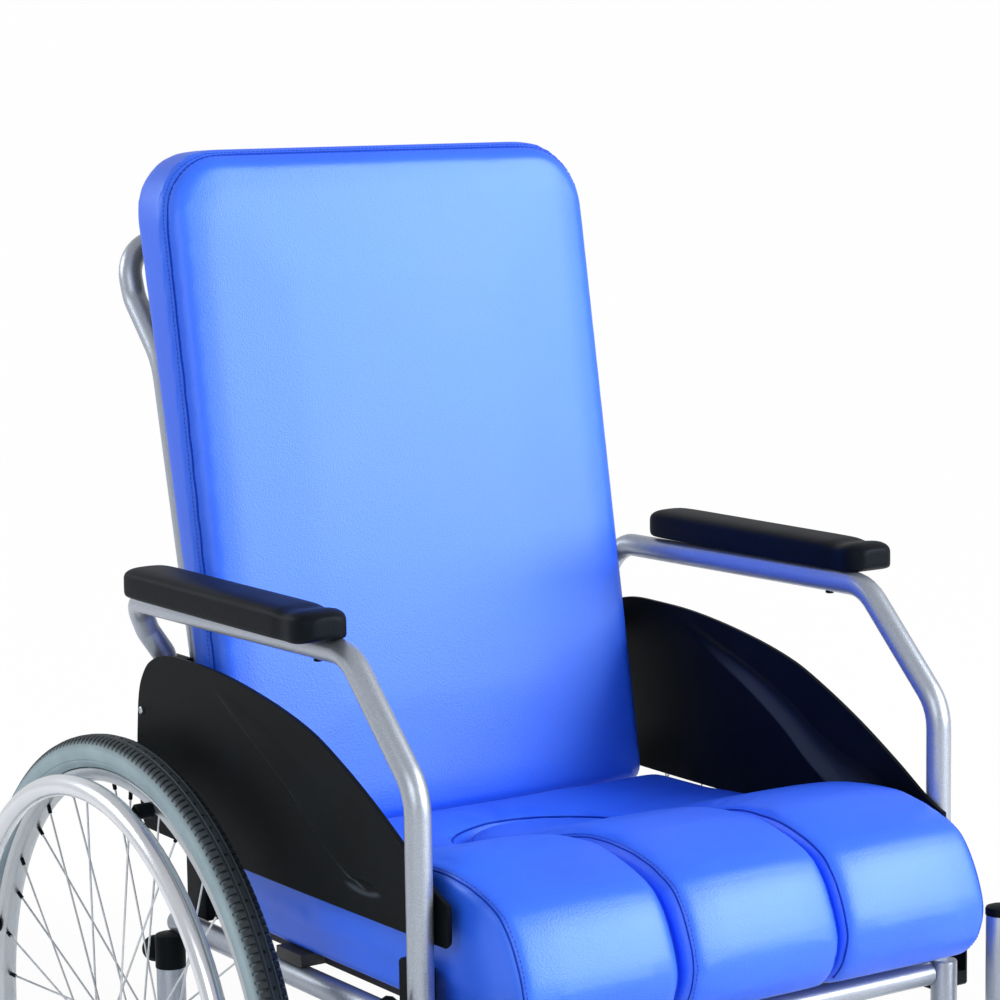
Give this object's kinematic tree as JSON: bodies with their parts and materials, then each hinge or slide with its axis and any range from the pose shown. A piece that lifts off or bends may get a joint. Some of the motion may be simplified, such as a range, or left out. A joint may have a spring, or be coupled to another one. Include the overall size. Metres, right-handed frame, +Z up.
{
  "type": "self-propelled commode chair",
  "caption": "Self-propelled commode chair with padded back and seat, removable seat insert over a pan, flip-back arms, spoked wheels, castors and swing-away footrests.",
  "frame": {"origin": "floor level, centred under the chair's bounding box", "axes": "+Z up, the sitter faces -Y, +X is the sitter's left"},
  "size_m": [0.6854, 1.185, 1.138],
  "materials": {
    "vinyl": "satin blue vinyl",
    "frame_paint": "silver-grey powder coat",
    "black_fittings": "satin black",
    "pad_skin": "black foam skin",
    "tyre": "blue-grey rubber",
    "rim": "satin",
    "handrim": "bright satin",
    "spokes": "bright",
    "bolts": "plated",
    "board": "black laminate",
    "pan_plastic": "off-white"
  },
  "bodies": {
    "frame": {"front_cross_tube": "frame_paint", "rear_cross_tube": "frame_paint", "push_bar_frame": "frame_paint", "back_cross_tube": "frame_paint", "seat_board": "board", "seat_cushion": "vinyl", "back_cushion": "vinyl", "back_board": "board", "axle_left": "bolts", "axle_right": "bolts", "side_frame_left": "frame_paint", "side_frame_right": "frame_paint", "post_clamp_left": "black_fittings", "post_clamp_right": "black_fittings", "brake_bracket_left": "black_fittings", "brake_bracket_right": "black_fittings", "arm_hinge_left": "black_fittings", "arm_hinge_right": "black_fittings", "arm_catch_left": "black_fittings", "arm_catch_right": "black_fittings", "pan_rail_left": "black_fittings", "pan_rail_right": "black_fittings"},
    "wheel_left": {"tyre_left": "tyre", "rim_left": "rim", "handrim_left": "handrim", "hub_spokes_left": "spokes"},
    "castor_left": {"castor_fork_left": "black_fittings", "castor_bolt_left": "bolts"},
    "castor_wheel_left": {"castor_tyre_left": "tyre", "castor_hub_left": "black_fittings"},
    "arm_left": {"arm_frame_left": "frame_paint", "arm_pad_left": "pad_skin", "side_panel_left": "black_fittings"},
    "hanger_left": {"footrest_hanger_left": "frame_paint"},
    "foot_post_left": {"footrest_post_left": "frame_paint"},
    "foot_plate_left": {"footplate_left": "black_fittings"},
    "brake_hand_left": {"brake_lever_left": "black_fittings"},
    "brake_block_left": {"brake_shoe_left": "bolts"},
    "knob_left": {"frame_knob_left": "black_fittings"},
    "wheel_right": {"tyre_right": "tyre", "rim_right": "rim", "handrim_right": "handrim", "hub_spokes_right": "spokes"},
    "castor_right": {"castor_fork_right": "black_fittings", "castor_bolt_right": "bolts"},
    "castor_wheel_right": {"castor_tyre_right": "tyre", "castor_hub_right": "black_fittings"},
    "arm_right": {"arm_frame_right": "frame_paint", "arm_pad_right": "pad_skin", "side_panel_right": "black_fittings"},
    "hanger_right": {"footrest_hanger_right": "frame_paint"},
    "foot_post_right": {"footrest_post_right": "frame_paint"},
    "foot_plate_right": {"footplate_right": "black_fittings"},
    "brake_hand_right": {"brake_lever_right": "black_fittings"},
    "brake_block_right": {"brake_shoe_right": "bolts"},
    "knob_right": {"frame_knob_right": "black_fittings"},
    "insert": {"seat_insert": "vinyl"},
    "pan": {"commode_pan": "pan_plastic"}
  },
  "joints": [
    {"name": "wheel_spin_left", "type": "hinge", "parent": "frame", "child": "wheel_left", "pos_m": [0.2957, 0.2875, 0.305], "axis": [1, 0, 0], "continuous": true},
    {"name": "castor_swivel_left", "type": "hinge", "parent": "frame", "child": "castor_left", "pos_m": [0.2375, -0.1975, 0.24], "axis": [0, 0, 1], "continuous": true},
    {"name": "castor_spin_left", "type": "hinge", "parent": "castor_left", "child": "castor_wheel_left", "pos_m": [0.2375, -0.1575, 0.1], "axis": [1, 0, 0], "continuous": true},
    {"name": "arm_flip_left", "type": "hinge", "parent": "frame", "child": "arm_left", "pos_m": [0.2405, 0.3025, 0.656], "axis": [-1, 0, 0], "range_deg": [0, 95]},
    {"name": "hanger_swing_left", "type": "hinge", "parent": "frame", "child": "hanger_left", "pos_m": [0.268, -0.2655, 0.38], "axis": [0, 0, 1], "range_deg": [0, 90]},
    {"name": "foot_height_left", "type": "slide", "parent": "hanger_left", "child": "foot_post_left", "axis": [-0.0644, -0.4269, -0.902], "range_m": [-0.03, 0.045]},
    {"name": "plate_fold_left", "type": "hinge", "parent": "foot_post_left", "child": "foot_plate_left", "pos_m": [0.232, -0.448, 0.112], "axis": [0, 1, 0], "range_deg": [0, 90]},
    {"name": "brake_pull_left", "type": "hinge", "parent": "frame", "child": "brake_hand_left", "pos_m": [0.2665, -0.0625, 0.405], "axis": [-1, 0, 0], "range_deg": [0, 55]},
    {"name": "brake_press_left", "type": "hinge", "parent": "frame", "child": "brake_block_left", "pos_m": [0.259, -0.0475, 0.382], "axis": [-1, 0, 0], "range_deg": [0, 18]},
    {"name": "knob_turn_left", "type": "hinge", "parent": "frame", "child": "knob_left", "pos_m": [0.2515, 0.3175, 0.4], "axis": [0, 1, 0], "continuous": true},
    {"name": "wheel_spin_right", "type": "hinge", "parent": "frame", "child": "wheel_right", "pos_m": [-0.2957, 0.2875, 0.305], "axis": [1, 0, 0], "continuous": true},
    {"name": "castor_swivel_right", "type": "hinge", "parent": "frame", "child": "castor_right", "pos_m": [-0.2375, -0.1975, 0.24], "axis": [0, 0, 1], "continuous": true},
    {"name": "castor_spin_right", "type": "hinge", "parent": "castor_right", "child": "castor_wheel_right", "pos_m": [-0.2375, -0.1575, 0.1], "axis": [1, 0, 0], "continuous": true},
    {"name": "arm_flip_right", "type": "hinge", "parent": "frame", "child": "arm_right", "pos_m": [-0.2405, 0.3025, 0.656], "axis": [-1, 0, 0], "range_deg": [0, 95]},
    {"name": "hanger_swing_right", "type": "hinge", "parent": "frame", "child": "hanger_right", "pos_m": [-0.268, -0.2655, 0.38], "axis": [0, 0, -1], "range_deg": [0, 90]},
    {"name": "foot_height_right", "type": "slide", "parent": "hanger_right", "child": "foot_post_right", "axis": [0.0644, -0.4269, -0.902], "range_m": [-0.03, 0.045]},
    {"name": "plate_fold_right", "type": "hinge", "parent": "foot_post_right", "child": "foot_plate_right", "pos_m": [-0.232, -0.448, 0.112], "axis": [0, -1, 0], "range_deg": [0, 90]},
    {"name": "brake_pull_right", "type": "hinge", "parent": "frame", "child": "brake_hand_right", "pos_m": [-0.2665, -0.0625, 0.405], "axis": [-1, 0, 0], "range_deg": [0, 55]},
    {"name": "brake_press_right", "type": "hinge", "parent": "frame", "child": "brake_block_right", "pos_m": [-0.259, -0.0475, 0.382], "axis": [-1, 0, 0], "range_deg": [0, 18]},
    {"name": "knob_turn_right", "type": "hinge", "parent": "frame", "child": "knob_right", "pos_m": [-0.2515, 0.3175, 0.4], "axis": [0, 1, 0], "continuous": true},
    {"name": "insert_lift", "type": "slide", "parent": "frame", "child": "insert", "axis": [0, 0, 1], "range_m": [0, 0.25]},
    {"name": "pan_slide", "type": "slide", "parent": "frame", "child": "pan", "axis": [0, 1, 0], "range_m": [0, 0.3]}
  ],
  "couplings": [
    {"joint": "brake_press_left", "follows": "brake_pull_left", "ratio": 0.32},
    {"joint": "brake_press_right", "follows": "brake_pull_right", "ratio": 0.32}
  ]
}
